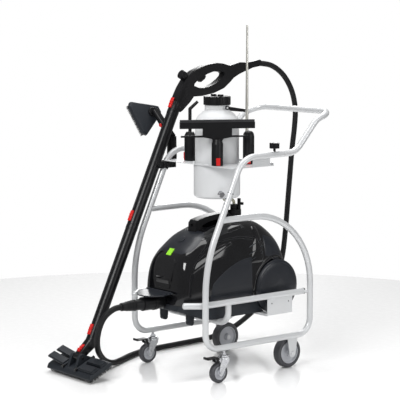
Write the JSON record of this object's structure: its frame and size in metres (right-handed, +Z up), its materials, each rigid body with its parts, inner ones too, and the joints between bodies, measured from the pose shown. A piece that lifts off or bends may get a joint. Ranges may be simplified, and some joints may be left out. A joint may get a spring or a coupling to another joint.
{
  "type": "steam cleaner",
  "caption": "Vapour steam cleaner on a wheeled tube trolley with hose, jointed lance, floor brush, tool tray and refill bottle.",
  "frame": {"origin": "middle of the footprint on the floor, measured without the hose and its plug", "axes": "+Z up, the front of the trolley faces -Y, +X is the trolley's right-hand frame as seen from behind"},
  "size_m": [0.6853, 1.2779, 1.392],
  "materials": {
    "frame_paint": "satin silver-grey",
    "sheet_paint": "satin light grey",
    "zinc": "zinc plated",
    "boiler_steel": "brushed",
    "shell_black": "high gloss",
    "slate": "fine texture",
    "black": "fine texture",
    "red": "semi gloss",
    "hub_grey": "smooth",
    "tyre_grey": "matte",
    "hose_rubber": "ribbed, matte",
    "display": "backlit",
    "rod": "plain",
    "bottle_milk": "translucent milk white",
    "clear_tube": "clear yellowish"
  },
  "bodies": {
    "trolley": {"handle_frame": "frame_paint", "side_loop_left": "frame_paint", "side_loop_right": "frame_paint", "cradle_rails": "frame_paint", "cradle_bracket": "sheet_paint", "tool_tray": "sheet_paint", "bottle_holder": "sheet_paint", "lance_clip": "black", "caster_stems": "zinc", "rear_axle_plates": "frame_paint", "generator_cover": "shell_black", "generator_base": "slate", "front_panel": "shell_black", "display_window": "display", "carry_handle": "black", "refill_adapter": "black", "hose_socket": "black", "boiler": "boiler_steel", "hose": "hose_rubber", "hose_plug": "black", "steam_handle": "black", "lance_tube_upper": "black", "lance_tube_lower": "black", "brush_neck": "black", "triangle_neck": "black", "hose_rod": "rod", "bottle": "bottle_milk", "water_tube": "clear_tube"},
    "clamp_knob": {"clamp_knob": "black"},
    "fork_left": {"caster_fork_left": "zinc"},
    "fork_right": {"caster_fork_right": "zinc"},
    "brake_left": {"caster_brake_left": "black"},
    "brake_right": {"caster_brake_right": "black"},
    "caster_left": {"caster_wheel_left": "hub_grey", "caster_tyre_left": "tyre_grey"},
    "caster_right": {"caster_wheel_right": "hub_grey", "caster_tyre_right": "tyre_grey"},
    "rear_left": {"rear_wheel_left": "hub_grey", "rear_tyre_left": "tyre_grey"},
    "rear_right": {"rear_wheel_right": "hub_grey", "rear_tyre_right": "tyre_grey"},
    "generator_wheel_left": {"generator_wheel_left": "shell_black"},
    "generator_wheel_right": {"generator_wheel_right": "shell_black"},
    "power_button": {"power_button": "slate"},
    "outlet_flap": {"outlet_flap": "black"},
    "trigger": {"trigger": "black"},
    "steam_knob": {"steam_knob": "black"},
    "latch_top": {"latch_top": "red"},
    "latch_middle": {"latch_middle": "red"},
    "latch_bottom": {"latch_bottom": "red"},
    "brush_lock": {"brush_lock": "red"},
    "floor_brush": {"floor_brush": "slate"},
    "cloth_clamp_left": {"cloth_clamp_left": "black"},
    "cloth_clamp_right": {"cloth_clamp_right": "slate"},
    "triangle_brush": {"triangle_brush": "slate"},
    "squeegee": {"squeegee": "black"},
    "detail_nozzle": {"detail_nozzle": "black"},
    "adapter_tube": {"adapter_tube": "black"},
    "bottle_cap": {"bottle_cap": "black"},
    "bottle_bail": {"bottle_bail": "black"}
  },
  "joints": [
    {"name": "clamp_knob_turn", "type": "hinge", "parent": "trolley", "child": "clamp_knob", "pos_m": [0.3192, 0.1816, 0.9], "axis": [0, 0, 1], "continuous": true},
    {"name": "fork_swivel_left", "type": "hinge", "parent": "trolley", "child": "fork_left", "pos_m": [-0.1408, -0.0784, 0.096], "axis": [0, 0, 1], "continuous": true},
    {"name": "brake_pedal_left", "type": "hinge", "parent": "fork_left", "child": "brake_left", "pos_m": [-0.1408, -0.1164, 0.086], "axis": [1, 0, 0], "range_deg": [0, 8]},
    {"name": "caster_roll_left", "type": "hinge", "parent": "fork_left", "child": "caster_left", "pos_m": [-0.1408, -0.1064, 0.04], "axis": [1, 0, 0], "continuous": true},
    {"name": "rear_roll_left", "type": "hinge", "parent": "trolley", "child": "rear_left", "pos_m": [-0.1073, 0.2856, 0.0625], "axis": [1, 0, 0], "continuous": true},
    {"name": "generator_roll_left", "type": "hinge", "parent": "trolley", "child": "generator_wheel_left", "pos_m": [-0.0348, 0.2686, 0.33], "axis": [1, 0, 0], "continuous": true},
    {"name": "fork_swivel_right", "type": "hinge", "parent": "trolley", "child": "fork_right", "pos_m": [0.3192, -0.0784, 0.096], "axis": [0, 0, 1], "continuous": true},
    {"name": "brake_pedal_right", "type": "hinge", "parent": "fork_right", "child": "brake_right", "pos_m": [0.3192, -0.1164, 0.086], "axis": [1, 0, 0], "range_deg": [0, 8]},
    {"name": "caster_roll_right", "type": "hinge", "parent": "fork_right", "child": "caster_right", "pos_m": [0.3192, -0.1064, 0.04], "axis": [1, 0, 0], "continuous": true},
    {"name": "rear_roll_right", "type": "hinge", "parent": "trolley", "child": "rear_right", "pos_m": [0.2857, 0.2856, 0.0625], "axis": [1, 0, 0], "continuous": true},
    {"name": "generator_roll_right", "type": "hinge", "parent": "trolley", "child": "generator_wheel_right", "pos_m": [0.2132, 0.2686, 0.33], "axis": [1, 0, 0], "continuous": true},
    {"name": "power_button_press", "type": "slide", "parent": "trolley", "child": "power_button", "axis": [0, 0.5592, -0.829], "range_m": [0, 0.0025], "stiffness_N_per_m": 400},
    {"name": "outlet_flap_hinge", "type": "hinge", "parent": "trolley", "child": "outlet_flap", "pos_m": [0.0892, -0.2204, 0.346], "axis": [1, 0, 0], "range_deg": [-70, 0]},
    {"name": "trigger_pull", "type": "hinge", "parent": "trolley", "child": "trigger", "pos_m": [-0.17187, 0.202, 1.18853], "axis": [0.9986, 0, 0.0523], "range_deg": [0, 4], "stiffness_Nm_per_rad": 1, "springref_deg": -5.73},
    {"name": "steam_knob_turn", "type": "hinge", "parent": "trolley", "child": "steam_knob", "pos_m": [-0.17117, 0.119, 1.17455], "axis": [-0.0246, -0.8829, 0.4688], "range_deg": [-150, 150]},
    {"name": "latch_top_press", "type": "slide", "parent": "trolley", "child": "latch_top", "axis": [0.0236, 0.8926, -0.4503], "range_m": [0, 0.002], "stiffness_N_per_m": 500},
    {"name": "latch_middle_press", "type": "slide", "parent": "trolley", "child": "latch_middle", "axis": [0.0236, 0.8926, -0.4503], "range_m": [0, 0.002], "stiffness_N_per_m": 500},
    {"name": "latch_bottom_press", "type": "slide", "parent": "trolley", "child": "latch_bottom", "axis": [0.0236, 0.8926, -0.4503], "range_m": [0, 0.002], "stiffness_N_per_m": 500},
    {"name": "brush_lock_press", "type": "slide", "parent": "trolley", "child": "brush_lock", "axis": [0, 0.5592, -0.829], "range_m": [0, 0.002], "stiffness_N_per_m": 500},
    {"name": "floor_brush_tilt", "type": "hinge", "parent": "trolley", "child": "floor_brush", "pos_m": [-0.1148, -0.47387, 0.07841], "axis": [1, 0, 0], "range_deg": [-30, 0]},
    {"name": "cloth_clamp_left_open", "type": "hinge", "parent": "floor_brush", "child": "cloth_clamp_left", "pos_m": [-0.1588, -0.47426, 0.05963], "axis": [0, 0.9135, 0.4067], "range_deg": [-12, 25]},
    {"name": "cloth_clamp_right_open", "type": "hinge", "parent": "floor_brush", "child": "cloth_clamp_right", "pos_m": [-0.0708, -0.47426, 0.05963], "axis": [0, 0.9135, 0.4067], "range_deg": [-35, 0]},
    {"name": "triangle_brush_turn", "type": "hinge", "parent": "trolley", "child": "triangle_brush", "pos_m": [-0.2528, 0.0216, 1.035], "axis": [0.9109, -0.1001, 0.4004], "range_deg": [-40, 40]},
    {"name": "squeegee_lift", "type": "slide", "parent": "trolley", "child": "squeegee", "axis": [0, 0, 1], "range_m": [0, 0.06]},
    {"name": "detail_nozzle_lift", "type": "slide", "parent": "trolley", "child": "detail_nozzle", "axis": [0, 0, 1], "range_m": [0, 0.05]},
    {"name": "adapter_tube_lift", "type": "slide", "parent": "trolley", "child": "adapter_tube", "axis": [0, 0, 1], "range_m": [0, 0.05]},
    {"name": "bottle_cap_turn", "type": "hinge", "parent": "trolley", "child": "bottle_cap", "pos_m": [0.0892, 0.0756, 1.09], "axis": [0, 0, 1], "continuous": true},
    {"name": "bottle_bail_swing", "type": "hinge", "parent": "trolley", "child": "bottle_bail", "pos_m": [0.0892, 0.0756, 1.064], "axis": [1, 0, 0], "range_deg": [0, 110]}
  ]
}
